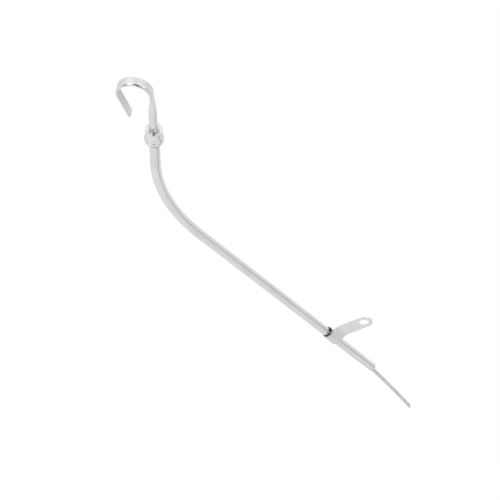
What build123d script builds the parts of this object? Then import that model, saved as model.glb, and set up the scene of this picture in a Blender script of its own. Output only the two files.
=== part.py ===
from build123d import *
import math
import os

os.makedirs("parts", exist_ok=True)

# Frame: the block end of the guide tube is at the origin and its lower leg runs up +Z.
# The tube bends toward +X in the XZ plane, and the pull hook lies in that same plane.

# guide tube
tube_od = 7.9375
tube_wall = 0.889
lower_leg = 261.5
bend_radius = 140.0
bend_angle = 41.0
upper_leg = 37.0
land_d = 7.6
land_len = 20.0
land_step = 0.5
tube_chamfer = 0.2

# stop cap that seats on the mouth of the tube
cap_foot_s = 31.9
cap_top_s = 45.4
cap_ring_r = 7.25
cap_ring_h = 3.3
cap_ledge = 0.6
cap_wall_r = 6.4
cap_waist_r = 6.35
cap_waist_drop = 5.2
cap_roll_r = 0.8
cap_cup_deg = 18.0
cap_foot_edge = 0.5
cap_lead_in = 1.4
cap_to_tube = 0.3
cap_seat_gap = 0.05

# pull handle, a round stem pressed flat into a hook
stem_d = 6.1
flat_t = 2.1
round_end_s = 64.5
flat_start_s = 78.5
hook_spring_s = 84.7
hook_rise_r = 11.4
hook_fall_r = 12.7
hook_over = 18.7
hook_tail = 21.6
hook_corner = 0.8

# measuring blade, a spring steel strip held in a pocket in the stem
blade_w = 4.1
blade_t = 0.7
blade_tang = 11.0
slot_gap = 0.03
blade_lean_from = 32.0
blade_lean = 5.75
blade_curl = 2.9
blade_exposed = 93.0
blade_corner = 0.6
mark_full = 14.0
mark_add = 32.0
mark_w = 0.6
mark_depth = 0.15

# mounting bracket, a strap folded round the tube so that both layers lie together as the tab
strap_t = 0.95
strap_w = 14.6
strap_mid_z = 70.5
strap_turn = 11.2
strap_nip = 0.05
loop_gap = 0.05
loop_slack = 1.25
back_slack = 0.6
back_leave_deg = 30.0
valley_r = 1.2
root_x = 13.6
root_bend_r = 7.5
eye_reach = 36.5
eye_r = 4.85
end_shift = 0.6
braze_gap = 0.02
braze_run = 2.8
braze_toe = 0.2
braze_bite = 0.3
braze_rise = 1.2

tube_r = tube_od / 2
bore_r = tube_r - tube_wall
stem_r = stem_d / 2
turn = math.radians(bend_angle)
over = math.radians(hook_over)


# points of the tube's centreline
bend_start = Vector(0, 0, lower_leg)
bend_mid = Vector(
    bend_radius * (1 - math.cos(turn / 2)), 0, lower_leg + bend_radius * math.sin(turn / 2)
)
bend_end = Vector(bend_radius * (1 - math.cos(turn)), 0, lower_leg + bend_radius * math.sin(turn))
pull_axis = Vector(math.sin(turn), 0, math.cos(turn))
hook_side = Vector(-math.cos(turn), 0, math.sin(turn))
mouth = bend_end + pull_axis * upper_leg

# stick frame: z runs up the pull axis from the end of the bend, x points to the hook's open side
stick = Plane(origin=bend_end, x_dir=hook_side, z_dir=pull_axis)


def build_tube():
    path = Wire(
        [
            Edge.make_line(Vector(0, 0, 0), bend_start),
            Edge.make_three_point_arc(bend_start, bend_mid, bend_end),
            Edge.make_line(bend_end, mouth),
        ]
    )
    ring = Circle(tube_r) - Circle(bore_r)
    tube = sweep(Plane.XY * ring, path=path)
    ends = tube.edges().filter_by(GeomType.CIRCLE).filter_by(
        lambda e: e.arc_center.length < 0.1 or (e.arc_center - mouth).length < 0.1
    )
    outer = ends.filter_by(lambda e: abs(e.radius - tube_r) < 0.01)
    tube = chamfer(outer, tube_chamfer)
    # the block end is sized down to a short land that presses into the block
    with BuildSketch(Plane.XZ) as waste:
        with BuildLine():
            Polyline(
                (land_d / 2 - tube_chamfer, 0),
                (land_d / 2, tube_chamfer),
                (land_d / 2, land_len),
                (tube_r, land_len + land_step),
                (tube_r + 1, land_len + land_step),
                (tube_r + 1, -1),
                (land_d / 2 - tube_chamfer, -1),
                close=True,
            )
        make_face()
    return tube - revolve(waste.sketch, axis=Axis.Z)


def build_cap():
    # half section in the stick frame, x as radius and z along the pull axis
    bore = tube_r + cap_to_tube
    hole = stem_r + slot_gap
    seat_s = upper_leg + cap_seat_gap
    ring_s = cap_foot_s + cap_ring_h
    waist = (cap_waist_r, cap_top_s - cap_waist_drop)
    roll_mid = Vector(cap_wall_r - cap_roll_r, cap_top_s - cap_roll_r)
    # the rolled top turns down into a shallow cup whose side meets the stem
    cup_turn = math.radians(cap_cup_deg)
    cup_edge = roll_mid + Vector(-math.sin(cup_turn), math.cos(cup_turn)) * cap_roll_r
    cup_s = cup_edge.Y - (cup_edge.X - hole) * math.tan(cup_turn)
    with BuildSketch(Plane.XZ) as half:
        with BuildLine():
            foot = Polyline(
                (hole, cup_s),
                (hole, seat_s),
                (bore, seat_s),
                (bore, cap_foot_s + cap_lead_in),
                (bore + cap_lead_in, cap_foot_s),
                (cap_ring_r - cap_foot_edge, cap_foot_s),
                (cap_ring_r, cap_foot_s + cap_foot_edge),
                (cap_ring_r, ring_s),
                (cap_ring_r - cap_ledge, ring_s + cap_ledge),
            )
            ThreePointArc(foot @ 1, waist, (cap_wall_r, roll_mid.Y))
            CenterArc(roll_mid, cap_roll_r, 0, 90 + cap_cup_deg)
            Line(cup_edge, foot @ 0)
        make_face()
    return stick * revolve(half.sketch, axis=Axis.Z)


def flat_section():
    # round bar section between two flats, thin along x
    return Circle(stem_r) & Rectangle(flat_t, stem_d + 1)


def build_handle():
    foot_s = upper_leg + cap_seat_gap
    stem = Pos(0, 0, foot_s) * Cylinder(
        stem_r, flat_start_s - foot_s, align=(Align.CENTER, Align.CENTER, Align.MIN)
    )
    # the flats draw in as a wedge from the full round to the strip
    with BuildSketch(Plane.XZ) as wedge:
        with BuildLine():
            Polyline(
                (-stem_r - 0.5, foot_s - 1),
                (stem_r + 0.5, foot_s - 1),
                (stem_r + 0.5, round_end_s),
                (stem_r, round_end_s),
                (flat_t / 2, flat_start_s),
                (-flat_t / 2, flat_start_s),
                (-stem_r, round_end_s),
                (-stem_r - 0.5, round_end_s),
                close=True,
            )
        make_face()
    stem = stem & extrude(wedge.sketch, amount=stem_d, both=True)

    rise = extrude(Plane((0, 0, flat_start_s)) * flat_section(), hook_spring_s - flat_start_s)
    crown_s = hook_spring_s + hook_rise_r
    rise_arc = revolve(
        Plane((0, 0, hook_spring_s)) * flat_section(),
        axis=Axis((hook_rise_r, 0, hook_spring_s), (0, 1, 0)),
        revolution_arc=90,
    )
    fall_s = crown_s - hook_fall_r
    crown = Plane(origin=(hook_rise_r, 0, crown_s), x_dir=(0, 0, 1), z_dir=(1, 0, 0))
    fall_arc = revolve(
        crown * flat_section(),
        axis=Axis((hook_rise_r, 0, fall_s), (0, 1, 0)),
        revolution_arc=90 + hook_over,
    )
    tail_plane = Plane(
        origin=(
            hook_rise_r + hook_fall_r * math.cos(over),
            0,
            fall_s - hook_fall_r * math.sin(over),
        ),
        x_dir=(math.cos(over), 0, -math.sin(over)),
        z_dir=(-math.sin(over), 0, -math.cos(over)),
    )
    tail = extrude(flat_section(), hook_tail)
    flat_w = 2 * math.sqrt(stem_r**2 - (flat_t / 2) ** 2)
    blank = Pos(0, 0, hook_tail / 2) * Box(flat_t + 1, flat_w, hook_tail)
    tip_edges = blank.edges().filter_by(Axis.X).filter_by(lambda e: e.center().Z > hook_tail / 2)
    outline = fillet(tip_edges, hook_corner)
    tail = tail_plane * (tail & outline)
    handle = stem + rise + rise_arc + fall_arc + tail

    slot = Pos(0, 0, foot_s - 1) * Box(
        blade_t + 2 * slot_gap,
        blade_w + 2 * slot_gap,
        blade_tang + 1 + slot_gap,
        align=(Align.CENTER, Align.CENTER, Align.MIN),
    )
    return stick * (handle - slot)


def blade_path():
    # centreline from the tang down through the tube and out past the block end
    lean = math.radians(blade_lean)
    lean_r = blade_lean_from / math.sin(lean)
    out_x = -lean_r * (1 - math.cos(lean))
    half = lean / 2
    curl = math.radians(blade_curl)
    curl_r = blade_exposed / curl

    def curl_point(t):
        along = lean + t * curl
        x = out_x - curl_r * (math.cos(lean) - math.cos(along))
        z = -curl_r * (math.sin(along) - math.sin(lean))
        return Vector(x, 0, z)

    tang_top = bend_end + pull_axis * (upper_leg + cap_seat_gap + blade_tang)
    lean_start = Vector(0, 0, blade_lean_from)
    lean_mid = Vector(
        -lean_r * (1 - math.cos(half)), 0, blade_lean_from - lean_r * math.sin(half)
    )
    return Wire(
        [
            Edge.make_line(tang_top, bend_end),
            Edge.make_three_point_arc(bend_end, bend_mid, bend_start),
            Edge.make_line(bend_start, lean_start),
            Edge.make_three_point_arc(lean_start, lean_mid, Vector(out_x, 0, 0)),
            Edge.make_three_point_arc(Vector(out_x, 0, 0), curl_point(0.5), curl_point(1.0)),
        ]
    ), lean + curl


def build_blade():
    path, end_angle = blade_path()
    start = Plane(origin=path @ 0, x_dir=(0, 1, 0), z_dir=path % 0)
    blade = sweep(start * Rectangle(blade_w, blade_t), path=path)
    tip = path @ 1
    tip_dir = path % 1
    corners = blade.edges().filter_by(
        lambda e: abs(e.length - blade_t) < 0.01 and (e.center() - tip).length < blade_w
    )
    blade = fillet(corners, blade_corner)
    # two level lines cut across the face on the +X side
    face_dir = Vector(math.cos(end_angle), 0, -math.sin(end_angle))
    for back in (mark_full, mark_add):
        share = 1 - back / path.length
        at = path @ share
        along = path % share
        normal = Vector(-along.Z, 0, along.X)
        if normal.dot(face_dir) < 0:
            normal = normal * -1
        spot = Plane(origin=at + normal * (blade_t / 2), x_dir=(0, 1, 0), z_dir=normal)
        blade = blade - spot * Box(blade_w + 1, mark_w, 2 * mark_depth)
    return blade


def build_bracket():
    # mid-lines of the two layers seen along the tube, x toward the eye
    touch_r = tube_r + loop_gap + strap_t / 2
    back_r = touch_r + back_slack
    front_r = touch_r + loop_slack
    lap = strap_t - strap_nip
    low_z = strap_mid_z - strap_w / 2
    reach = eye_reach + end_shift + strap_w / 2
    root = Vector(root_x, -root_bend_r)
    across = math.hypot(root_x - loop_slack, root_bend_r)
    lean = math.atan2(root_bend_r, root_x - loop_slack) + math.acos((front_r + root_bend_r) / across)
    lean_deg = math.degrees(lean)
    away = Vector(-math.cos(lean), math.sin(lean))
    front_leave = Vector(loop_slack, 0) - away * front_r
    back_leave = Vector(back_slack, 0) + Vector(back_r, 0).rotate(Axis.Z, back_leave_deg)
    back_down = Vector(0, -1).rotate(Axis.Z, back_leave_deg)
    slope = root + away * (root_bend_r + lap)
    valley = back_leave + back_down * ((slope - back_leave).dot(away) / back_down.dot(away))
    with BuildLine() as front:
        Line((reach, 0), (root_x, 0))
        CenterArc(root, root_bend_r, 90, 90 - lean_deg)
        Line(root + away * root_bend_r, front_leave)
        CenterArc((loop_slack, 0), front_r, 180, 180 - lean_deg)
    with BuildLine() as back:
        CenterArc((back_slack, 0), back_r, back_leave_deg, 180 - back_leave_deg)
        Line(back_leave, valley)
        Line(valley, slope)
        fillet(back.vertices().sort_by_distance(valley)[0], radius=valley_r)
        CenterArc(root, root_bend_r + lap, 90, 90 - lean_deg)
        Line((root_x, lap), (reach, lap))
    section = trace(front.line, strap_t) + trace(back.line, strap_t)
    strap = extrude(Pos(0, 0, low_z) * section, strap_w)

    # rounded eye end with its bolt hole
    with BuildSketch(Plane.XZ) as plan:
        with Locations((0, strap_mid_z)):
            Rectangle(2 * (eye_reach + end_shift), strap_w)
        with Locations((eye_reach + end_shift, strap_mid_z)):
            Circle(strap_w / 2)
        with Locations((eye_reach, strap_mid_z)):
            Circle(eye_r, mode=Mode.SUBTRACT)
    strap = strap & extrude(plan.sketch, amount=20, both=True)

    # braze that fixes the lower edge of the loop to the tube
    with BuildSketch(Plane.XZ) as bead:
        with BuildLine():
            Polyline(
                (tube_r + braze_gap, low_z - braze_run),
                (tube_r + braze_toe, low_z - braze_run),
                (touch_r + braze_bite, low_z),
                (touch_r + braze_bite, low_z + braze_rise),
                (tube_r + braze_gap, low_z + braze_rise),
                close=True,
            )
        make_face()
    strap = strap + revolve(bead.sketch, axis=Axis.Z)
    return Rot(0, 0, strap_turn) * strap


nodes = {
    "guide_tube": build_tube(),
    "mounting_bracket": build_bracket(),
    "pull_handle": build_handle(),
    "stop_cap": build_cap(),
    "measuring_blade": build_blade(),
}

for name, shape in nodes.items():
    solids = shape.solids()
    assert len(solids) == 1, (name, len(solids))
    solid = solids[0]
    solid.label = name
    export_step(solid, "parts/" + name + ".step")
    box = solid.bounding_box()
    print(name, round(solid.volume, 1), [round(v, 2) for v in box.min], [round(v, 2) for v in box.max])
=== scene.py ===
import math

import bmesh
import bpy
import numpy as np
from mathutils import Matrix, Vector


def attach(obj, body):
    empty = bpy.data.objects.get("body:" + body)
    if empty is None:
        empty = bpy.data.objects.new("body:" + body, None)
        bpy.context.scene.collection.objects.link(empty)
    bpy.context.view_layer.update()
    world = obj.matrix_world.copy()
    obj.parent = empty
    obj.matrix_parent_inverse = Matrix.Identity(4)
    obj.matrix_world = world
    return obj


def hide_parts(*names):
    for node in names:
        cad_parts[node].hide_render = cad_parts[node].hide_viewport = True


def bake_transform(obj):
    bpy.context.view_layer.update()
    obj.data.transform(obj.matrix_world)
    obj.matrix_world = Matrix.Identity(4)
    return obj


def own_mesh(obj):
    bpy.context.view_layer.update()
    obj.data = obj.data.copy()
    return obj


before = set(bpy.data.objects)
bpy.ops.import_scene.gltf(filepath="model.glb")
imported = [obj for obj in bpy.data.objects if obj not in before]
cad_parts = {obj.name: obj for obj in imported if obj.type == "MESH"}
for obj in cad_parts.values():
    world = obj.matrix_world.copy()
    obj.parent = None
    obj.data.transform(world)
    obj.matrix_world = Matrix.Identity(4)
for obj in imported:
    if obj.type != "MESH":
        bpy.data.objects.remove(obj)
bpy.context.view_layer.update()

print("frame loaded:", sorted(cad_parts))

mm = 0.001  # every size below is written in millimetres, the scene is in metres


# shader helpers

class Link:
    # a socket that takes part in Python arithmetic, each operation adds a Math node
    def __init__(self, tree, socket):
        self.tree = tree
        self.socket = socket

    def math(self, operation, first, second=0.0):
        return addNode(self.tree, "ShaderNodeMath", {"operation": operation}, {0: first, 1: second})

    def __add__(self, other):
        return self.math("ADD", self, other)

    def __radd__(self, other):
        return self.math("ADD", other, self)

    def __sub__(self, other):
        return self.math("SUBTRACT", self, other)

    def __rsub__(self, other):
        return self.math("SUBTRACT", other, self)

    def __mul__(self, other):
        return self.math("MULTIPLY", self, other)

    def __rmul__(self, other):
        return self.math("MULTIPLY", other, self)

    def atLeast(self, other):
        return self.math("MAXIMUM", self, other)

    def atMost(self, other):
        return self.math("MINIMUM", self, other)


def addNode(tree, kind, settings=None, inputs=None, output=0):
    # settings first, then the values or links of the sockets
    node = tree.nodes.new(kind)
    for key, value in (settings or {}).items():
        setattr(node, key, value)
    for key, value in (inputs or {}).items():
        socket = node.inputs[key]
        if isinstance(value, Link):
            tree.links.new(value.socket, socket)
        else:
            socket.default_value = value
    return Link(tree, node.outputs[output]) if node.outputs else None


def newMaterial(name):
    material = bpy.data.materials.new(name)
    material.use_nodes = True
    material.node_tree.nodes.clear()
    return material, material.node_tree


def smoothBand(tree, value, low, high):
    # 0 below low, 1 above high, eased between
    return addNode(
        tree,
        "ShaderNodeMapRange",
        {"interpolation_type": "SMOOTHSTEP", "clamp": True},
        {"Value": value, "From Min": low, "From Max": high, "To Min": 0.0, "To Max": 1.0},
    )


def mixColour(tree, factor, first, second):
    return addNode(
        tree,
        "ShaderNodeMix",
        {"data_type": "RGBA"},
        {0: factor, 6: first, 7: second},
        output=2,
    )


def grey(level):
    return (level, level, level, 1.0)


# shape helpers

def routeAt(route, along):
    # a flat line of straight and round runs; a run of length L that turns by T has, after a distance d,
    # gone d * sin(h) / h at the heading it started with plus h, where h is half the angle turned so far
    lengths = np.array([length for length, turn in route["runs"]])
    turns = np.radians([turn for length, turn in route["runs"]])
    starts = np.concatenate([[0.0], np.cumsum(lengths)])
    headings = math.radians(route["heading"]) + np.concatenate([[0.0], np.cumsum(turns)])
    chords = lengths * np.sinc(turns / 2 / np.pi)
    steps = chords[:, None] * np.stack(
        [np.cos(headings[:-1] + turns / 2), np.sin(headings[:-1] + turns / 2)], axis=1
    )
    corners = np.array(route["start"]) + np.concatenate([np.zeros((1, 2)), np.cumsum(steps, axis=0)])
    along = np.asarray(along, float)
    run = np.clip(np.searchsorted(starts, along, side="right") - 1, 0, len(lengths) - 1)
    gone = along - starts[run]
    half = turns[run] / lengths[run] * gone / 2
    chord = gone * np.sinc(half / np.pi)
    place = corners[run] + chord[:, None] * np.stack(
        [np.cos(headings[run] + half), np.sin(headings[run] + half)], axis=1
    )
    return place, headings[run] + 2 * half


def routeLength(route):
    return sum(length for length, turn in route["runs"])


def inBendPlane(route, along, side, across):
    # a section point (side, across) carried along a route that lies in the XZ plane:
    # side is measured to the left of the heading, across along Y
    place, heading = routeAt(route, along)
    x = place[:, 0, None] - np.sin(heading)[:, None] * side
    z = place[:, 1, None] + np.cos(heading)[:, None] * side
    return np.stack([x, across + 0 * x, z], axis=-1)


def gridFaces(rows, columns, closeRows=False, closeColumns=True, first=0):
    # quads of a grid of points, numbered row by row
    i = np.arange(rows if closeRows else rows - 1)
    j = np.arange(columns if closeColumns else columns - 1)
    i, j = np.meshgrid(i, j, indexing="ij")
    nextI = (i + 1) % rows
    nextJ = (j + 1) % columns
    quads = np.stack(
        [i * columns + j, i * columns + nextJ, nextI * columns + nextJ, nextI * columns + j], axis=-1
    )
    return first + quads.reshape(-1, 4)


def roundedLine(corners, steps=6):
    # a line through corners (x, y, radius), each corner replaced by an arc that touches both sides
    points = np.array([corner[:2] for corner in corners], float)
    out = [points[:1]]
    for k in range(1, len(corners) - 1):
        radius = corners[k][2]
        back = points[k - 1] - points[k]
        ahead = points[k + 1] - points[k]
        back = back / np.linalg.norm(back)
        ahead = ahead / np.linalg.norm(ahead)
        if radius == 0:
            out.append(points[k:k + 1])
            continue
        halfAngle = math.acos(np.clip(back @ ahead, -1, 1)) / 2
        middle = back + ahead
        centre = points[k] + middle / np.linalg.norm(middle) * radius / math.sin(halfAngle)
        touch = radius / math.tan(halfAngle)
        a = points[k] + back * touch - centre
        b = points[k] + ahead * touch - centre
        sweep = math.pi - 2 * halfAngle
        t = np.linspace(0, sweep, steps)[:, None]
        out.append(centre + (a * np.sin(sweep - t) + b * np.sin(t)) / math.sin(sweep))
    out.append(points[-1:])
    return np.concatenate(out)


def evenLine(line, step):
    # the same line with points added so that no gap is longer than step
    gaps = np.linalg.norm(np.diff(line, axis=0), axis=1)
    counts = np.maximum(np.ceil(gaps / step).astype(int), 1)
    index = np.repeat(np.arange(len(gaps)), counts)
    within = np.arange(counts.sum()) - np.repeat(np.cumsum(counts) - counts, counts)
    share = (within / counts[index])[:, None]
    return np.concatenate([line[index] * (1 - share) + line[index + 1] * share, line[-1:]])


def putMesh(name, points, faces, lay, dirtAndShade, weld=False):
    # points in millimetres; lay is the straightened place of each point and the last argument how dark its
    # dirt and painted shade make it
    mesh = bpy.data.meshes.new(name)
    mesh.from_pydata((points.reshape(-1, 3) * mm).tolist(), [], faces.tolist())
    vectors = mesh.attributes.new("lay", "FLOAT_VECTOR", "POINT")
    vectors.data.foreach_set("vector", (lay.reshape(-1, 3) * mm).astype(np.float32).ravel())
    values = mesh.attributes.new("dirtAndShade", "FLOAT", "POINT")
    values.data.foreach_set("value", np.asarray(dirtAndShade, np.float32).ravel())
    work = bmesh.new()
    work.from_mesh(mesh)
    if weld:
        bmesh.ops.remove_doubles(work, verts=work.verts, dist=0.002 * mm)
    bmesh.ops.recalc_face_normals(work, faces=work.faces)
    work.to_mesh(mesh)
    work.free()
    mesh.shade_smooth()
    piece = bpy.data.objects.new(name, mesh)
    bpy.context.scene.collection.objects.link(piece)
    print("made", name, len(mesh.vertices), "points,", len(mesh.polygons), "faces")
    return piece


def ease(value, low, high):
    t = np.clip((value - low) / (high - low), 0, 1)
    return t * t * (3 - 2 * t)


# guide tube

tubeSet = {
    "outer": 7.9375,
    "wall": 0.889,
    "lowerLeg": 261.5,
    "bendRadius": 140.0,
    "bendAngle": 41.0,
    "upperLeg": 37.0,
    "landOuter": 7.6,
    "landLength": 20.0,
    "landStep": 0.5,
    "landRound": 0.3,
    "lipRound": 0.14,
    "endBand": (0.6, 1.6),
    "endDull": 0.22,
    # the thin line under the cap is a painted shadow
    "capShadowBand": (26.5, 27.1, 28.0, 28.6),  # heights above the bend of the thin line under the cap
    "lineRows": (26.4, 26.8, 27.2, 27.9, 28.3, 28.7),
    "capShadowPaint": 0.40,
    "strapShadePaint": 0.12,
    "step": 1.5,
    "around": 96,
}
tubeRadius = tubeSet["outer"] / 2
boreRadius = tubeRadius - tubeSet["wall"]
bendLength = tubeSet["bendRadius"] * math.radians(tubeSet["bendAngle"])
tubeRoute = {
    "start": (0.0, 0.0),
    "heading": 90.0,
    "runs": [(tubeSet["lowerLeg"], 0.0), (bendLength, -tubeSet["bendAngle"]), (tubeSet["upperLeg"], 0.0)],
}
bendEndAlong = tubeSet["lowerLeg"] + bendLength
mouthAlong = routeLength(tubeRoute)
bendEnd, pullHeading = (value[0] for value in routeAt(tubeRoute, [bendEndAlong]))
pullDegrees = math.degrees(pullHeading)


def makeTube(strapLow, strapHigh):
    # wall section (along, radius) as one closed loop, turned round the tube's line:
    # point = line(along) + radius * (cos a * side + sin a * Y)
    s = tubeSet
    land = s["landOuter"] / 2
    landEnd = s["landLength"]
    lip = s["lipRound"]
    outline = roundedLine(
        [
            (mouthAlong / 2, boreRadius, 0),
            (0.0, boreRadius, lip),
            (0.0, land, lip),
            (landEnd, land, s["landRound"]),
            (landEnd + s["landStep"], tubeRadius, s["landRound"]),
            *[(bendEndAlong + height, tubeRadius, 0) for height in s["lineRows"]],
            (mouthAlong, tubeRadius, lip),
            (mouthAlong, boreRadius, lip),
            (mouthAlong / 2 + 0.01, boreRadius, 0),
        ]
    )
    outline = evenLine(outline, s["step"])
    angle = np.linspace(0, 2 * np.pi, s["around"], endpoint=False)
    along, radius = outline[:, 0], outline[:, 1]
    side = radius[:, None] * np.cos(angle)
    across = radius[:, None] * np.sin(angle)
    points = inBendPlane(tubeRoute, along, side, across)
    lay = np.stack([side, across, along[:, None] + 0 * side], axis=-1)
    # the bore is painted dark: oily steel, and painted shade
    inside = ease(tubeRadius - radius, 0.5, 0.8)
    # painted shade on the tube where the strap's loop wraps it
    underStrap = ease(along, strapLow, strapLow + 0.4) * (1 - ease(along, strapHigh - 5.0, strapHigh - 2.2))
    # darker at the cut end, and a painted shadow on a thin line just under the cap
    above = along - bendEndAlong
    line = ease(above, *s["capShadowBand"][:2]) * (1 - ease(above, *s["capShadowBand"][2:]))
    endDullAndCapShadow = s["endDull"] * (1 - ease(along, *s["endBand"])) + s["capShadowPaint"] * line
    dirtAndShade = np.maximum(np.maximum(inside, endDullAndCapShadow), s["strapShadePaint"] * underStrap)[:, None] + 0 * side
    faces = gridFaces(len(along), len(angle), closeRows=True)
    return putMesh("tube_wall", points, faces, lay, dirtAndShade)


# mounting bracket, a strap folded round the tube

strapSet = {
    "thick": 0.95,
    "wide": 14.6,
    "midHeight": 70.5,
    "turn": 11.2,
    "nip": 0.05,
    "loopGap": 0.05,
    "loopSlack": 1.25,
    "backSlack": 0.6,
    "backLeave": 30.0,
    "valleyRadius": 1.2,
    "rootX": 13.6,
    "rootRadius": 7.5,
    "eyeReach": 36.5,
    "eyeRadius": 4.85,
    "endShift": 0.6,
    "edgeRound": 0.22,
    "eyeJoin": 3.0,
    "loopShadePaint": 0.12,
    "foldShadePaint": 0.09,
    "step": 0.6,
}


def strapRoute():
    # mid-line of the strap seen along the tube: down the front layer from the eye, round the loop, and back
    s = strapSet
    touch = tubeRadius + s["loopGap"] + s["thick"] / 2
    backRadius = touch + s["backSlack"]
    frontRadius = touch + s["loopSlack"]
    lap = s["thick"] - s["nip"]
    reach = s["eyeReach"] + s["endShift"] + s["wide"] / 2
    span = math.hypot(s["rootX"] - s["loopSlack"], s["rootRadius"])
    lean = math.atan2(s["rootRadius"], s["rootX"] - s["loopSlack"])
    lean = lean + math.acos((frontRadius + s["rootRadius"]) / span)
    rise = 90 - math.degrees(lean)  # slope of the root between loop and tab
    away = np.array([-math.cos(lean), math.sin(lean)])
    root = np.array([s["rootX"], -s["rootRadius"]])
    frontLeave = np.array([s["loopSlack"], 0]) - away * frontRadius
    leave = math.radians(s["backLeave"])
    backLeave = np.array([s["backSlack"] + backRadius * math.cos(leave), backRadius * math.sin(leave)])
    backDown = np.array([math.sin(leave), -math.cos(leave)])
    slope = root + away * (s["rootRadius"] + lap)
    valley = backLeave + backDown * (((slope - backLeave) @ away) / (backDown @ away))
    valleyTurn = 90 - s["backLeave"] + rise
    trim = s["valleyRadius"] * math.tan(math.radians(valleyTurn) / 2)
    loopTurn = 180 - math.degrees(lean)
    backTurn = 180 - s["backLeave"]
    arc = math.radians
    runs = [
        (reach - s["rootX"], 0.0),
        (s["rootRadius"] * arc(rise), rise),
        (np.linalg.norm(root + away * s["rootRadius"] - frontLeave), 0.0),
        (frontRadius * arc(loopTurn), -loopTurn),
        (backRadius * arc(backTurn), -backTurn),
        (np.linalg.norm(valley - backLeave) - trim, 0.0),
        (s["valleyRadius"] * arc(valleyTurn), valleyTurn),
        (np.linalg.norm(slope - valley) - trim, 0.0),
        ((s["rootRadius"] + lap) * arc(rise), -rise),
        (reach - s["rootX"], 0.0),
    ]
    return {"start": (reach, 0.0), "heading": 180.0, "runs": runs}, reach


def foldStrap(route, blank):
    # blank point (along, across, lift) to its folded place:
    # mid-line(along) + lift to the right of the heading, with across along Z
    place, heading = routeAt(route, blank[:, 0])
    e = place[:, 0] + np.sin(heading) * blank[:, 2]
    n = place[:, 1] - np.cos(heading) * blank[:, 2]
    turn = math.radians(strapSet["turn"])
    x = e * math.cos(turn) - n * math.sin(turn)
    y = e * math.sin(turn) + n * math.cos(turn)
    return np.stack([x, y, strapSet["midHeight"] + blank[:, 1]], axis=1)


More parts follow.
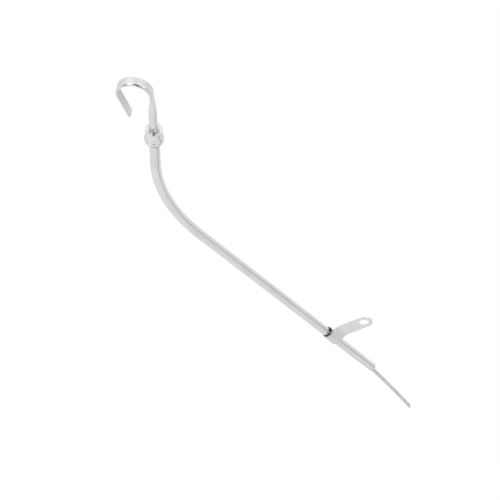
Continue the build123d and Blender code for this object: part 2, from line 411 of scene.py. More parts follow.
def makeStrap():
    # the strap is laid out flat as grids of blank points (along, across, lift), with a ring of spokes
    # from hole to rim at each eye and rounded edges all round, and then folded
    s = strapSet
    route, reach = strapRoute()
    total = routeLength(route)
    edge = s["edgeRound"]
    half = s["wide"] / 2 - edge
    endAt = s["wide"] / 2
    eyeAt = reach - s["eyeReach"]
    joinAt = eyeAt + s["eyeRadius"] + s["eyeJoin"]
    hole = s["eyeRadius"] + edge
    acrossSteps = half * np.concatenate([[-1, -0.985], np.linspace(-0.95, 0.95, 21), [0.985, 1]])
    alongSteps = np.linspace(joinAt, total - joinAt, int((total - 2 * joinAt) / s["step"]))
    edgeSteps = np.linspace(joinAt, endAt, 18)
    bow = np.linspace(np.pi / 2, 3 * np.pi / 2, 49)

    # outline of an eye end, from the join up one edge, round the end and back down the other
    sideA = np.stack([edgeSteps, half + 0 * edgeSteps], axis=1)
    endBow = np.stack([endAt + half * np.cos(bow), half * np.sin(bow)], axis=1)
    sideB = sideA[::-1] * [1, -1]
    joinLine = np.stack([joinAt + 0 * acrossSteps, acrossSteps], axis=1)
    rim = np.concatenate([sideA, endBow[1:-1], sideB])
    rimOut = np.concatenate(
        [
            np.tile([0.0, 1.0], (len(sideA), 1)),
            np.stack([np.cos(bow), np.sin(bow)], axis=1)[1:-1],
            np.tile([0.0, -1.0], (len(sideB), 1)),
        ]
    )
    ring = np.concatenate([joinLine[1:-1], rim])
    bearing = np.arctan2(ring[:, 1], ring[:, 0] - eyeAt)
    spoke = np.stack([np.cos(bearing), np.sin(bearing)], axis=1)
    holeRing = np.array([eyeAt, 0.0]) + hole * spoke
    share = np.concatenate([[0, 0.03], np.linspace(0.1, 0.9, 9), [0.97, 1]])[:, None, None]
    eyeSheet = holeRing * (1 - share) + ring * share

    # rounded edge of the sheet: out by edge * cos a, lifted by half the thickness less edge * (1 - sin a)
    up = np.linspace(np.pi / 2, 0, 6)
    lift = s["thick"] / 2 - edge + edge * np.sin(up)
    edgeOut = edge * np.concatenate([np.cos(up), np.cos(up[::-1])])
    edgeLift = np.concatenate([lift, -lift[::-1]])

    blanks, faces, count = [], [], 0

    def addGrid(along, across, height, rows, columns, closeColumns):
        nonlocal count
        shape = np.broadcast_arrays(along, across, height)
        blanks.append(np.stack([part.reshape(-1) for part in shape], axis=1))
        faces.append(gridFaces(rows, columns, False, closeColumns, count))
        count += rows * columns

    def atEnd(points, flip):
        # the second eye end is the first one seen from the strap's other end
        return np.where(flip, total - points[..., 0], points[..., 0]), points[..., 1]

    for flip in (False, True):
        for height in (s["thick"] / 2, -s["thick"] / 2):
            along, across = atEnd(eyeSheet, flip)
            addGrid(along, across, height + 0 * along, len(share), len(ring), True)
        outer = rim + rimOut * edgeOut[:, None, None]
        along, across = atEnd(outer, flip)
        addGrid(along, across, edgeLift[:, None] + 0 * along, len(edgeOut), len(rim), False)
        inner = holeRing - spoke * edgeOut[:, None, None]
        along, across = atEnd(inner, flip)
        addGrid(along, across, edgeLift[:, None] + 0 * along, len(edgeOut), len(ring), True)

    for height in (s["thick"] / 2, -s["thick"] / 2):
        along, across = np.meshgrid(alongSteps, acrossSteps, indexing="ij")
        addGrid(along, across, height + 0 * along, len(alongSteps), len(acrossSteps), False)
    for sign in (1, -1):
        along = alongSteps + 0 * edgeOut[:, None]
        across = sign * (half + edgeOut[:, None]) + 0 * along
        addGrid(along, across, edgeLift[:, None] + 0 * along, len(edgeOut), len(alongSteps), False)

    blank = np.concatenate(blanks)
    points = foldStrap(route, blank)
    turn = math.radians(s["turn"])
    e = points[:, 0] * math.cos(turn) + points[:, 1] * math.sin(turn)
    # the inner face of the loop is painted darker as shade: it is the side at +lift, between the eye ends
    loop = (1 - ease(e, 7.4, 9.0)) * ease(blank[:, 2], 0.0, 0.3)
    deep = 1 - ease(np.abs(blank[:, 1]), half - 5.0, half - 2.2)
    # the fold's outer face is painted a little darker than the tab as shade, up to where the tab starts
    folded = ease(e, -3.0, 6.0) * (1 - ease(e, s["rootX"] - 0.6, s["rootX"] + 0.8))
    outside = 1 - ease(blank[:, 2], -0.3, 0.0)
    dirtAndShade = np.maximum(s["loopShadePaint"] * loop * deep, s["foldShadePaint"] * folded * outside)
    lay = np.stack([blank[:, 2], blank[:, 1], blank[:, 0]], axis=1)
    return putMesh("strap", points, np.concatenate(faces), lay, dirtAndShade, weld=True)


brazeSet = {"run": 2.8, "toe": 0.03, "bite": 0.3, "rise": 0.5, "hollow": 1.2, "dull": 0.12, "around": 96}


def makeBraze():
    # braze between tube and strap: a hollow-faced ring turned about the tube, point = (r cos a, r sin a, z)
    b = brazeSet
    low = strapSet["midHeight"] - strapSet["wide"] / 2
    toeRadius = tubeRadius + b["toe"]
    biteRadius = tubeRadius + strapSet["loopGap"] + strapSet["thick"] / 2 + b["bite"]
    t = np.linspace(0, 1, 14)
    radius = toeRadius + (biteRadius - tubeRadius) * (1 - np.cos(t * np.pi / 2)) ** b["hollow"]
    height = low - b["run"] * (1 - t)
    back = [[biteRadius, low + b["rise"]], [toeRadius, low + b["rise"]]]
    section = np.concatenate([np.stack([radius, height], axis=1), back])
    angle = np.linspace(0, 2 * np.pi, b["around"], endpoint=False)
    ripple = 1 + 0.05 * np.sin(5 * angle) + 0.03 * np.sin(11 * angle + 1.0)
    swell = (section[:, 0] - tubeRadius)[:, None] * ripple + tubeRadius
    points = np.stack(
        [swell * np.cos(angle), swell * np.sin(angle), section[:, 1, None] + 0 * swell], axis=-1
    )
    faces = gridFaces(len(section), len(angle), closeRows=True)
    return putMesh("braze_ring", points, faces, points, b["dull"] + 0 * swell)


fillSet = {
    "below": 0.35,
    "groove": 2.5,
    "grooveWide": 0.7,
    "sink": 6.0,
    "deep": 9.2,
    "bite": 0.12,
    "tip": 7.2,
    "skin": 0.05,
    "dull": 0.04,
    "around": 180,
}


def makeFill():
    # braze that has run into the open side of the loop: between the tube and the strap's inner face, whose
    # distance from the tube's line is read off by bearing; its top dips beside the tube and the back layer
    f = fillSet
    route = strapRoute()[0]
    joins = np.cumsum([length for length, turn in route["runs"]])
    place, heading = routeAt(route, np.linspace(joins[1], joins[6], 600))
    inner = place + strapSet["thick"] / 2 * np.stack([np.sin(heading), -np.cos(heading)], axis=1)
    reachOut = np.hypot(inner[:, 0], inner[:, 1])
    inner = inner[reachOut < f["tip"]]
    reachOut = reachOut[reachOut < f["tip"]]
    bearings = np.arctan2(inner[:, 1], inner[:, 0])
    angle = np.linspace(-np.pi, np.pi, f["around"], endpoint=False)
    order = np.argsort(bearings)
    outer = np.interp(angle, bearings[order], reachOut[order], period=2 * np.pi)
    start = tubeRadius - f["skin"]
    share = np.linspace(0, 1, 15)[:, None]
    radius = start + (outer + f["bite"] - start) * share
    top = strapSet["midHeight"] + strapSet["wide"] / 2 - f["below"]
    degrees = np.degrees(angle)
    sink = ease(degrees, -9.0, 3.0) + 1 - ease(degrees, -140.0, -110.0)
    groove = 1 - ease(radius - tubeRadius, 0.1, f["grooveWide"])
    height = top - f["groove"] * groove - f["sink"] * np.minimum(sink, 1)
    radius = np.concatenate([radius, radius[-1:], radius[:1]])
    height = np.concatenate([height, np.full((2, len(angle)), top - f["deep"])])
    bearing = angle + math.radians(strapSet["turn"])
    points = np.stack([radius * np.cos(bearing), radius * np.sin(bearing), height], axis=-1)
    faces = gridFaces(len(radius), len(angle), closeRows=True)
    return putMesh("braze_fill", points, faces, points, f["dull"] + 0 * radius)


# pull handle, a round stem pressed flat into a hook

handleSet = {
    "stem": 6.1,
    "flat": 2.1,
    "footAlong": 37.05,
    "roundEnd": 64.5,
    "flatStart": 78.5,
    "spring": 84.7,
    "riseRadius": 11.4,
    "fallRadius": 12.7,
    "over": 18.7,
    "tail": 21.6,
    "corner": 0.8,
    "edgeRound": 0.22,
    "outerRound": 1.6,
    "innerRound": 0.45,
    "farRound": 0.7,
    "wide": 7.0,
    "neck": 0.33,
    "openRoundEnd": 69.0,
    "backFlatStart": 79.5,
    "bendShadePaint": 0.16,
    "footShadePaint": 0.5,
    "around": 128,
    "sharp": 16.0,
}


def makeHandle():
    # bar section: a circle whose side measure is held below a half thickness q by the smooth
    # minimum (a^-p + q^-p)^(-1/p), carried up the stem and round the hook
    h = handleSet
    radius = h["stem"] / 2
    runs = [
        (h["spring"] - h["footAlong"], 0.0),
        (h["riseRadius"] * math.pi / 2, 90.0),
        (h["fallRadius"] * math.radians(90 + h["over"]), 90.0 + h["over"]),
        (h["tail"], 0.0),
    ]
    pull = np.array([math.cos(pullHeading), math.sin(pullHeading)])
    route = {"start": bendEnd + pull * h["footAlong"], "heading": pullDegrees, "runs": runs}
    total = routeLength(route)
    along = np.concatenate(
        [
            np.linspace(0, 26, 60),
            np.linspace(26, total - h["corner"], 260)[1:],
            total - h["corner"] * (1 - np.sin(np.linspace(0, np.pi / 2, 10)[1:])),
        ]
    )
    # half thickness: free on the round stem, then a straight wedge down to the strip; the wedge on the
    # hook's open side is the shorter one
    def wedge(start, stop):
        press = np.clip((along + h["footAlong"] - start) / (stop - start), -1, 1)
        return np.where(press < 0, radius * (1 + 6 * press**2), radius + (h["flat"] / 2 - radius) * press)

    stop = h["flatStart"] - h["footAlong"]
    angle = np.linspace(0, 2 * np.pi, h["around"], endpoint=False)
    openSide = np.cos(angle) > 0
    q = np.where(
        openSide,
        wedge(h["openRoundEnd"], h["flatStart"])[:, None],
        wedge(h["roundEnd"], h["backFlatStart"])[:, None],
    )
    a = np.maximum(np.abs(radius * np.cos(angle)), 1e-6)
    p = h["sharp"]
    side = np.sign(np.cos(angle)) * (a ** -p + (q * 1.012) ** -p) ** (-1 / p)
    across = radius * np.sin(angle) + 0 * side
    # past the wedge the section eases to a strip with rounded corners, the outer ones fuller: each point
    # moves on its own ray from the middle to the distance that the strip's outline has at that bearing
    thin = h["flat"] / 2
    width = h["wide"] / 2
    outline = roundedLine(
        [
            (-thin, 0, 0),
            (-thin, width, h["farRound"]),
            (thin, width, h["innerRound"]),
            (thin, -width, h["innerRound"]),
            (-thin, -width, h["outerRound"]),
            (-thin, -0.001, 0),
        ],
        steps=24,
    )
    outline = evenLine(outline, 0.03)
    bearings = np.arctan2(outline[:, 1], outline[:, 0])
    order = np.argsort(bearings)
    reach = np.hypot(outline[:, 0], outline[:, 1])
    wanted = np.interp(np.arctan2(across, side), bearings[order], reach[order], period=2 * np.pi)
    soften = 1 + ease(along, stop, stop + 8)[:, None] * (wanted / np.hypot(side, across) - 1)
    side = side * soften
    across = across * soften
    # the press bites deepest at the back, just past the wedge
    neck = h["neck"] * ease(along, stop - 4, stop + 2) * (1 - ease(along, stop + 7, stop + 16))
    side = np.where(side < 0, side * (1 - neck[:, None]), side)
    # the tail ends square with rounded corners: the width falls off by r - sqrt(r^2 - d^2) near the end
    near = np.clip(along - (total - h["corner"]), 0, h["corner"])
    limit = width - (h["corner"] - np.sqrt(np.maximum(h["corner"] ** 2 - near**2, 0)))
    across = np.where((near > 0)[:, None], np.clip(across, -limit[:, None], limit[:, None]), across)
    nearEdge = np.clip(along - (total - h["edgeRound"]), 0, h["edgeRound"])
    left = thin - (h["edgeRound"] - np.sqrt(np.maximum(h["edgeRound"] ** 2 - nearEdge**2, 0)))
    side = np.where((nearEdge > 0)[:, None], np.clip(side, -left[:, None], left[:, None]), side)
    # both ends are closed by rows that draw in to the line
    shut = np.array([0.7, 0.35, 0.0])[:, None]
    side = np.concatenate([side[:1] * shut[::-1], side, side[-1:] * shut])
    across = np.concatenate([across[:1] * shut[::-1], across, across[-1:] * shut])
    along = np.concatenate([np.zeros(3), along, np.full(3, total)])
    points = inBendPlane(route, along, side, across)
    lay = np.stack([side, across, along[:, None] + 0 * side], axis=-1)
    height = along + h["footAlong"]
    # painted shade inside the bend, from the hook's fall into its tail
    tailStart = total - h["tail"]
    bend = ease(along, tailStart - 14, tailStart - 2) * (1 - ease(along, total - 16, total + 6))
    dull = h["bendShadePaint"] * bend[:, None] * ease(side, 0.3 * thin, 0.9 * thin)
    # painted shade on the stem's foot, down in the cap's cup
    dirtAndShade = np.maximum(h["footShadePaint"] * (1 - ease(height, 42.1, 42.6))[:, None], dull)
    return putMesh("hook_bar", points, gridFaces(len(along), len(angle)), lay, dirtAndShade, weld=True)


# stop cap on the mouth of the tube

capSet = {
    "foot": 31.9,
    "top": 45.4,
    "ringRadius": 7.25,
    "ringTop": 35.2,
    "ledge": 0.35,
    "wallRadius": 6.4,
    "waistRadius": 6.35,
    "waistDrop": 5.2,
    "rollRadius": 0.8,
    "cupTurn": 18.0,
    "leadIn": 1.4,
    "toTube": 0.3,
    "toStem": 0.03,
    "footRound": 0.7,
    "ledgeRound": 0.35,
    "footShadePaint": 0.28,
    "step": 0.45,
    "around": 160,
}


def circleThrough(a, b, c):
    # centre and radius of the circle through three points
    matrix = 2 * np.array([b - a, c - a])
    centre = np.linalg.solve(matrix, np.array([b @ b - a @ a, c @ c - a @ a]))
    return centre, np.linalg.norm(a - centre)


def makeCap():
    # closed half section (radius, height along the pull), turned about the pull line
    c = capSet
    bore = tubeRadius + c["toTube"]
    hole = handleSet["stem"] / 2 + c["toStem"]
    seat = handleSet["footAlong"]
    rollMid = np.array([c["wallRadius"] - c["rollRadius"], c["top"] - c["rollRadius"]])
    cup = math.radians(c["cupTurn"])
    wallFoot = np.array([c["ringRadius"] - c["ledge"], c["ringTop"] + c["ledge"]])
    waist = np.array([c["waistRadius"], c["top"] - c["waistDrop"]])
    wallTop = np.array([c["wallRadius"], rollMid[1]])
    centre, radius = circleThrough(wallFoot, waist, wallTop)
    ends = np.array([wallFoot, wallTop]) - centre
    ends = np.arctan2(ends[:, 1], ends[:, 0]) % (2 * math.pi)
    wall = np.linspace(ends[0], ends[1], 26)
    wall = centre + radius * np.stack([np.cos(wall), np.sin(wall)], axis=1)
    # the top rolls over from the wall and turns down into a shallow cup round the stem
    over = np.linspace(0.04, math.pi / 2 + cup, 26)
    roll = rollMid + c["rollRadius"] * np.stack([np.cos(over), np.sin(over)], axis=1)
    cupLow = roll[-1, 1] - (roll[-1, 0] - hole) * math.tan(cup)
    low = roundedLine(
        [
            (hole, cupLow, 0),
            (hole, seat, 0.2),
            (bore, seat, 0.2),
            (bore, c["foot"] + c["leadIn"], 0.4),
            (bore + c["leadIn"], c["foot"], 0.3),
            (c["ringRadius"], c["foot"], c["footRound"]),
            (c["ringRadius"], c["ringTop"], c["ledgeRound"]),
            tuple(wallFoot) + (c["ledgeRound"],),
            tuple(wall[3]) + (0,),
        ]
    )
    high = np.concatenate([roll, [[hole + 0.01, cupLow + 0.01]]])
    section = evenLine(np.concatenate([low, wall[4:-1], high]), c["step"])
    angle = np.linspace(0, 2 * np.pi, c["around"], endpoint=False)
    side = section[:, :1] * np.cos(angle)
    across = section[:, :1] * np.sin(angle)
    along = section[:, 1]
    route = {"start": bendEnd, "heading": pullDegrees, "runs": [(c["top"] + 5, 0.0)]}
    points = inBendPlane(route, along, side, across)
    lay = np.stack([section[:, :1] + 0 * side, 0 * side, along[:, None] + 0 * side], axis=-1)
    # the cap's bore is painted dark as shade, and the underside of its foot is painted darker as shade
    inside = (1 - ease(section[:, 0], bore + 0.1, bore + 1.2)) * (1 - ease(along, seat + 0.4, seat + 0.8))
    underFoot = c["footShadePaint"] * (1 - ease(along, c["foot"] + 0.5, c["foot"] + 1.3))
    dirtAndShade = np.maximum(inside, underFoot)[:, None] + 0 * side
    return putMesh("cap_turned", points, gridFaces(len(section), len(angle), closeRows=True), lay, dirtAndShade)


# measuring blade: one strip, in two pieces that meet inside the tube

bladeSet = {
    "wide": 4.1,
    "thick": 0.7,
    "tang": 11.0,
    "leanFrom": 32.0,
    "lean": 5.75,
    "curl": 2.9,
    "exposed": 93.0,
    "corner": 0.6,
    "edgeRound": 0.16,
    "marks": (14.0, 32.0),
    "markWide": 0.6,
    "markDeep": 0.15,
    "markDull": 0.75,
    "meetAbove": 22.0,
    "step": 0.35,
}


def bladeRoute():
    # down from the stem's pocket through the tube's bend, then over to the tube's wall
    # and out of the lower end with a slight curl
    b = bladeSet
    lean = math.radians(b["lean"])
    pull = np.array([math.cos(pullHeading), math.sin(pullHeading)])
    top = bendEnd + pull * (handleSet["footAlong"] + b["tang"])
    runs = [
        (handleSet["footAlong"] + b["tang"], 0.0),
        (bendLength, tubeSet["bendAngle"]),
        (tubeSet["lowerLeg"] - b["leanFrom"], 0.0),
        (b["leanFrom"] / math.sin(lean) * lean, -b["lean"]),
        (b["exposed"], -b["curl"]),
    ]
    return {"start": top, "heading": pullDegrees + 180, "runs": runs}


def bladeStrip(name, along, squareEnd):
    # rounded rectangle section carried along the blade's line; level lines are shallow dips in its thickness
    b = bladeSet
    route = bladeRoute()
    total = routeLength(route)
    edge = b["edgeRound"]
    w = b["wide"] / 2
    t = b["thick"] / 2
    outline = roundedLine(
        [(0, t, 0), (w, t, edge), (w, -t, edge), (-w, -t, edge), (-w, t, edge), (-0.02, t, 0)], steps=6
    )
    outline = evenLine(outline, b["step"])
    across = outline[:, 0] + 0 * along[:, None]
    side = outline[:, 1] + 0 * along[:, None]
    fromTip = total - along
    markHalf = b["markWide"] / 2
    dip = sum(1 - ease(np.abs(fromTip - mark), 0.6 * markHalf, markHalf) for mark in b["marks"])
    side = side - b["markDeep"] * dip[:, None] * (side > t - 0.02)
    if squareEnd:
        near = np.clip(b["corner"] - fromTip, 0, b["corner"])
        limit = w - (b["corner"] - np.sqrt(np.maximum(b["corner"] ** 2 - near**2, 0)))
        across = np.clip(across, -limit[:, None], limit[:, None])
    shut = np.array([0.6, 0.0])[:, None]
    side = np.concatenate([side[:1] * shut[::-1], side, side[-1:] * shut])
    across = np.concatenate([across[:1] * shut[::-1], across, across[-1:] * shut])
    along = np.concatenate([along[:1], along[:1], along, along[-1:], along[-1:]])
    points = inBendPlane(route, along, side, across)
    lay = np.stack([side, across, along[:, None] + 0 * side], axis=-1)
    dirtAndShade = np.concatenate([[0, 0], b["markDull"] * dip, [0, 0]])[:, None] * (side > 0)
    return putMesh(name, points, gridFaces(len(along), len(outline)), lay, dirtAndShade, weld=True)


def makeBlade():
    total = routeLength(bladeRoute())
    meet = total - bladeSet["exposed"] - bladeSet["meetAbove"]
    marks = [np.linspace(total - m - 0.5, total - m + 0.5, 13) for m in bladeSet["marks"]]
    tip = np.concatenate(
        [
            np.arange(meet, total - bladeSet["corner"], 1.0),
            *marks,
            total - bladeSet["corner"] * (1 - np.sin(np.linspace(0, np.pi / 2, 8))),
        ]
    )
    upper = np.concatenate([np.arange(0, 60, 0.5), np.arange(60, meet + 4, 1.5)])
    return bladeStrip("blade_run", upper, False), bladeStrip("blade_tip", np.unique(tip), True)


# finishes

lookSet = {
    "tube": {"base": 0.74, "dull": 0.70, "rough": 0.10, "lines": (2400.0, 2400.0, 14.0), "bump": 0.05},
    "strap": {"base": 0.75, "dull": 0.72, "rough": 0.15, "lines": (900.0, 1500.0, 40.0), "bump": 0.015},
    "hook": {"base": 0.73, "dull": 0.69, "rough": 0.08, "lines": (500.0, 60.0, 2600.0), "bump": 0.07},
    "cap": {"base": 0.76, "dull": 0.72, "rough": 0.08, "lines": (2200.0, 10.0, 3000.0), "bump": 0.05},
    "blade": {"base": 0.67, "dull": 0.61, "rough": 0.30, "lines": (300.0, 3600.0, 30.0), "bump": 0.10},
    "fill": {"base": 0.52, "dull": 0.44, "rough": 0.40, "lines": (700.0, 700.0, 700.0), "bump": 0.30},
    "braze": {"base": 0.60, "dull": 0.48, "rough": 0.30, "lines": (900.0, 900.0, 900.0), "bump": 0.25},
}
wearSet = {
    "cloudScale": 60.0,
    "wipeBand": (0.42, 0.68),
    "wipeRough": 0.05,
    "speckScale": 900.0,
    "pitBand": (0.70, 0.78),
    "pitDirt": 0.05,
    "pitDrop": -0.6,
    "lineRough": 0.06,
    "lineDeep": 0.1,
    "dirtAndShadeRough": 0.45,
    "dirtAndShadeMatte": 0.85,
    "dirtAndShadeColour": (0.020, 0.018, 0.016, 1.0),
    "edgeTint": 0.78,
}


def plated(name, look):
    # metal with polishing lines and cloudy wipe marks in its roughness, and dirt and painted shade where its
    # attribute says
    w = wearSet
    material, tree = newMaterial(name)
    lay = addNode(tree, "ShaderNodeAttribute", {"attribute_name": "lay"}, None, 1)
    dirtAndShade = addNode(tree, "ShaderNodeAttribute", {"attribute_name": "dirtAndShade"}, None, 2)
    spot = addNode(tree, "ShaderNodeTexCoord", None, None, 3)
    stretched = addNode(tree, "ShaderNodeVectorMath", {"operation": "MULTIPLY"}, {0: lay, 1: look["lines"]})
    lines = addNode(
        tree, "ShaderNodeTexNoise", None, {"Vector": stretched, "Scale": 1.0, "Detail": 4.0, "Roughness": 0.6}
    )
    cloud = addNode(
        tree,
        "ShaderNodeTexNoise",
        None,
        {"Vector": spot, "Scale": w["cloudScale"], "Detail": 5.0, "Roughness": 0.55},
    )
    specks = addNode(
        tree,
        "ShaderNodeTexNoise",
        None,
        {"Vector": spot, "Scale": w["speckScale"], "Detail": 2.0, "Roughness": 0.5},
    )
    wiped = smoothBand(tree, cloud, *w["wipeBand"])
    pits = smoothBand(tree, specks, *w["pitBand"])
    # pits add real dirt; the attribute also carries painted shade, which darkens the colour toward near black
    dirtShadeMix = (dirtAndShade + pits * w["pitDirt"]).atMost(1.0)
    plate = mixColour(tree, wiped, grey(look["base"]), grey(look["dull"]))
    colour = mixColour(tree, dirtShadeMix, plate, w["dirtAndShadeColour"])
    rough = look["rough"] + lines * w["lineRough"] + wiped * w["wipeRough"] + dirtShadeMix * w["dirtAndShadeRough"]
    bump = addNode(
        tree,
        "ShaderNodeBump",
        None,
        {"Strength": look["bump"], "Distance": w["lineDeep"] * mm, "Height": lines + pits * w["pitDrop"]},
    )
    shader = addNode(
        tree,
        "ShaderNodeBsdfPrincipled",
        None,
        {
            "Base Color": colour,
            "Metallic": 1.0 - dirtShadeMix * w["dirtAndShadeMatte"],
            "Roughness": rough,
            "Normal": bump,
            "Specular Tint": grey(w["edgeTint"]),
        },
    )
    addNode(tree, "ShaderNodeOutputMaterial", None, {"Surface": shader})
    return material


finishes = {
    "tube_wall": plated("bright_plate_tube", lookSet["tube"]),
    "strap": plated("bright_plate_strap", lookSet["strap"]),
    "braze_ring": plated("plated_braze", lookSet["braze"]),
    "braze_fill": plated("dull_braze", lookSet["fill"]),
    "hook_bar": plated("bright_plate_hook", lookSet["hook"]),
    "cap_turned": plated("bright_plate_cap", lookSet["cap"]),
    "blade_run": plated("rolled_spring_steel", lookSet["blade"]),
}
finishes["blade_tip"] = finishes["blade_run"]
print("finishes ready:", len(finishes))


# build and place the pieces

strapLow = strapSet["midHeight"] - strapSet["wide"] / 2
strapHigh = strapSet["midHeight"] + strapSet["wide"] / 2
tubeWall = makeTube(strapLow, strapHigh)
strap = makeStrap()
brazeRing = makeBraze()
brazeFill = makeFill()
hookBar = makeHandle()
capTurned = makeCap()
bladeRun, bladeTip = makeBlade()

for piece, body, node in (
    (tubeWall, "guide", "guide_tube"),
    (strap, "guide", "mounting_bracket"),
    (brazeRing, "guide", "mounting_bracket"),
    (brazeFill, "guide", "mounting_bracket"),
    (hookBar, "dipstick", "pull_handle"),
    (capTurned, "dipstick", "stop_cap"),
):
    piece.data.materials.append(finishes[piece.name])
    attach(piece, body)
    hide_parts(node)
    if piece not in (brazeRing, brazeFill):
        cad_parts[node].data.materials.clear()
        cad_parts[node].data.materials.append(finishes[piece.name])

# when pulled, the blade's run comes out of the mouth with the stem and its tip draws up into the block end;
# here the run is baked in place and the tip is tied to the guide
for piece in (bladeRun, bladeTip):
    piece.data.materials.append(finishes[piece.name])
    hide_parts("measuring_blade")
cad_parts["measuring_blade"].data.materials.clear()
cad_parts["measuring_blade"].data.materials.append(finishes["blade_run"])
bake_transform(bladeRun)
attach(bladeTip, "guide")
tipHeading = routeAt(bladeRoute(), [routeLength(bladeRoute()) - bladeSet["exposed"] / 2])[1][0]
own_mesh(bladeTip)


# floor, light and camera

stageSet = {
    "centre": (0.03, 0.0, 0.2),
    "floorHeight": -0.45,
    "floorSize": 14.0,
    "floorColour": 0.86,
    "sheetShare": 0.94,
    "sheetWhite": 1.03,
    "sheetLevel": 0.98,
    "sheetFall": 0.10,
    "sheetRise": 0.06,
    "shadowAt": -0.08,
    "shadowHalf": 0.24,
    "shadowDraw": 0.6,
    "shadowDark": 0.42,
    "shadowLow": -0.35,
    "shadowGone": -0.65,
    "roomLevel": 0.8,
    "lamps": (
        {"name": "overhead_box", "azimuth": 92.0, "elevation": 62.0, "away": 2.2, "size": 1.3, "power": 1.5},
        {"name": "side_box", "azimuth": 48.0, "elevation": 20.0, "away": 1.9, "size": 1.1, "power": 1.0},
    ),
    "cards": (
        # name, azimuth, elevation, distance, width, height, turn, cover, where the fade starts, level
        ("camera_flag", -48.0, 40.0, 2.25, 2.3, 1.9, 0.0, 1.0, 0.60, 0.02),
        ("front_flag", -69.0, 10.0, 2.0, 1.7, 1.5, 0.0, 0.85, 0.50, 0.03),
        ("left_flag", -121.0, 26.0, 1.9, 1.0, 3.2, 0.0, 0.64, 0.30, 0.10),
        ("back_flag", 158.0, -20.0, 1.4, 0.6, 0.5, 0.0, 0.20, 0.50, 0.02),
        ("overhead_card", 92.0, 60.0, 2.2, 2.6, 2.2, 0.0, 0.90, 0.10, 1.20),
        ("side_card", 50.0, 24.0, 2.1, 1.6, 1.5, 0.0, 0.90, 0.10, 1.20),
        ("key_card", -58.0, 66.0, 1.6, 1.62, 0.60, 0.0, 1.0, 0.35, 2.20),
        ("left_spot", -97.0, 46.0, 1.35, 0.34, 0.32, 0.0, 1.0, 0.40, 2.80),
        ("right_spot", 15.0, 6.0, 1.6, 1.10, 0.52, 0.0, 1.0, 0.30, 2.60),
    ),
    "cameraTarget": (0.02429, 0.0, 0.22452),
    "cameraAway": 0.91637,
    "cameraAzimuth": 50.646,
    "cameraElevation": 38.518,
    "cameraRoll": 51.594,
    "cameraLens": 79.2,
    "sensor": 36.0,
}


def bearing(azimuth, elevation):
    # unit vector at an angle round Z from X, and an angle above the floor
    a = math.radians(azimuth)
    e = math.radians(elevation)
    return Vector((math.cos(e) * math.cos(a), math.cos(e) * math.sin(a), math.sin(e)))


def rayKind(tree):
    # 1 for rays from the camera, mirrors and glass, 0 for the light that falls on the floor
    seen = addNode(tree, "ShaderNodeLightPath", None, None, 0)
    glossy = Link(tree, seen.socket.node.outputs["Is Glossy Ray"])
    through = Link(tree, seen.socket.node.outputs["Is Transmission Ray"])
    return seen, (seen + glossy + through).atMost(1.0)


def makeFloor():
    s = stageSet
    half = s["floorSize"] / 2
    corners = np.array([(-half, -half, 0), (half, -half, 0), (half, half, 0), (-half, half, 0)])
    corners[:, 2] = s["floorHeight"]
    mesh = bpy.data.meshes.new("floor")
    mesh.from_pydata(corners.tolist(), [], [(0, 1, 2, 3)])
    floor = bpy.data.objects.new("floor", mesh)
    bpy.context.scene.collection.objects.link(floor)
    material, tree = newMaterial("pale_sheet")
    seen, kind = rayKind(tree)
    # direction of a floor point from the object: a soft painted shadow band runs under it along X, drawn
    # toward the camera on its low side and fading out there, and the sheet is painted a little paler on the
    # far side; only the plated metal mirrors this, as a painted reflection
    spot = addNode(tree, "ShaderNodeTexCoord", None, None, 3)
    arm = addNode(tree, "ShaderNodeVectorMath", {"operation": "SUBTRACT"}, {0: spot, 1: s["centre"]})
    arm = addNode(tree, "ShaderNodeVectorMath", {"operation": "NORMALIZE"}, {0: arm})
    x = addNode(tree, "ShaderNodeSeparateXYZ", None, {0: arm})
    y = Link(tree, x.socket.node.outputs[1])
    off = y - s["shadowAt"] - x.atLeast(s["shadowLow"]).atMost(0.0) * s["shadowDraw"]
    shadowBand = 1.0 - smoothBand(tree, off.math("ABSOLUTE", off), 0.0, s["shadowHalf"])
    shadowBand = shadowBand * smoothBand(tree, x, s["shadowGone"], s["shadowLow"])
    level = s["sheetLevel"] - x * s["sheetFall"] + y * s["sheetRise"] - shadowBand * s["shadowDark"]
    bright = seen * s["sheetWhite"] + (1.0 - seen) * level
    white = addNode(tree, "ShaderNodeCombineColor", None, {0: bright, 1: bright, 2: bright})
    glow = addNode(tree, "ShaderNodeEmission", None, {"Color": white, "Strength": 1.0})
    matte = addNode(tree, "ShaderNodeBsdfDiffuse", None, {"Color": grey(s["floorColour"])})
    sheet = addNode(tree, "ShaderNodeMixShader", None, {0: kind * s["sheetShare"], 1: matte, 2: glow})
    addNode(tree, "ShaderNodeOutputMaterial", None, {"Surface": sheet})
    mesh.materials.append(material)


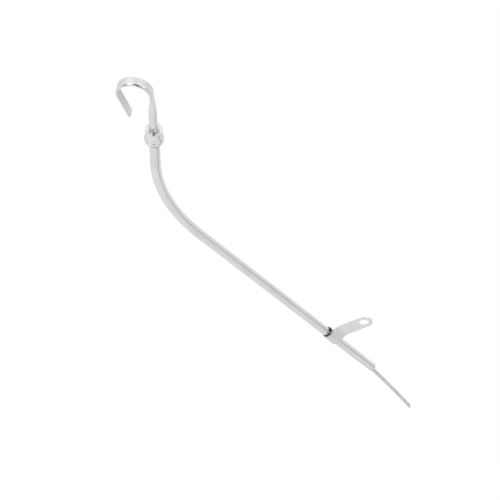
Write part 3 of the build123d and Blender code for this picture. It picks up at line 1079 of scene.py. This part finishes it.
def makeCard(name, azimuth, elevation, away, wide, high, turn, cover, fadeFrom, level):
    # an oval card that faces the object and is seen only in its plating, faded toward its edge
    out = bearing(azimuth, elevation)
    place = Vector(stageSet["centre"]) + out * away
    flat = Vector((-out.y, out.x, 0)).normalized()
    rise = out.cross(flat)
    turn = math.radians(turn)
    right = (flat * math.cos(turn) + rise * math.sin(turn)) * wide / 2
    up = (rise * math.cos(turn) - flat * math.sin(turn)) * high / 2
    signs = ((-1, -1), (1, -1), (1, 1), (-1, 1))
    mesh = bpy.data.meshes.new(name)
    mesh.from_pydata([tuple(place + right * i + up * j) for i, j in signs], [], [(0, 1, 2, 3)])
    sheet = mesh.uv_layers.new(name="card")
    sheet.data.foreach_set("uv", np.array(signs, np.float32).ravel())
    card = bpy.data.objects.new(name, mesh)
    bpy.context.scene.collection.objects.link(card)
    card.visible_camera = False
    card.visible_diffuse = False
    card.visible_shadow = False
    material, tree = newMaterial(name)
    spot = addNode(tree, "ShaderNodeTexCoord", None, None, 2)
    reach = addNode(tree, "ShaderNodeVectorMath", {"operation": "LENGTH"}, {0: spot}, 1)
    fade = (1.0 - smoothBand(tree, reach, fadeFrom, 1.0)) * cover
    clear = addNode(tree, "ShaderNodeBsdfTransparent")
    glow = addNode(tree, "ShaderNodeEmission", None, {"Color": grey(level), "Strength": 1.0})
    surface = addNode(tree, "ShaderNodeMixShader", None, {0: fade, 1: clear, 2: glow})
    addNode(tree, "ShaderNodeOutputMaterial", None, {"Surface": surface})
    mesh.materials.append(material)


def makeWorld():
    world = bpy.data.worlds.new("soft_room")
    world.use_nodes = True
    tree = world.node_tree
    tree.nodes.clear()
    kind = rayKind(tree)[1]
    strength = stageSet["roomLevel"] + kind * (1.0 - stageSet["roomLevel"])
    room = addNode(tree, "ShaderNodeBackground", None, {"Color": grey(1.0), "Strength": strength})
    addNode(tree, "ShaderNodeOutputWorld", None, {"Surface": room})
    bpy.context.scene.world = world


def makeLamps():
    for setting in stageSet["lamps"]:
        lamp = bpy.data.lights.new(setting["name"], "AREA")
        lamp.shape = "SQUARE"
        lamp.size = setting["size"]
        lamp.energy = setting["power"]
        holder = bpy.data.objects.new(setting["name"], lamp)
        out = bearing(setting["azimuth"], setting["elevation"])
        holder.location = Vector(stageSet["centre"]) + out * setting["away"]
        holder.rotation_euler = (-out).to_track_quat("-Z", "Y").to_euler()
        holder.visible_glossy = False
        bpy.context.scene.collection.objects.link(holder)


def makeCamera():
    s = stageSet
    azimuth = math.radians(s["cameraAzimuth"])
    elevation = math.radians(s["cameraElevation"])
    back = Vector(
        (
            math.sin(azimuth) * math.cos(elevation),
            -math.cos(azimuth) * math.cos(elevation),
            math.sin(elevation),
        )
    )
    data = bpy.data.cameras.new("photo_camera")
    data.lens = s["cameraLens"]
    data.sensor_width = s["sensor"]
    data.clip_start = 0.01
    data.clip_end = 100.0
    camera = bpy.data.objects.new("photo_camera", data)
    level = (-back).to_track_quat("-Z", "Y").to_matrix()
    roll = math.radians(s["cameraRoll"])
    right = level.col[0] * math.cos(roll) - level.col[1] * math.sin(roll)
    up = level.col[1] * math.cos(roll) + level.col[0] * math.sin(roll)
    turned = level.copy()
    turned.col[0] = right
    turned.col[1] = up
    camera.matrix_world = turned.to_4x4()
    camera.location = Vector(s["cameraTarget"]) + back * s["cameraAway"]
    bpy.context.scene.collection.objects.link(camera)
    bpy.context.scene.camera = camera


makeFloor()
for setting in stageSet["cards"]:
    makeCard(*setting)
makeWorld()
makeLamps()
makeCamera()
bpy.context.scene.view_settings.view_transform = "Standard"
print("stage ready")
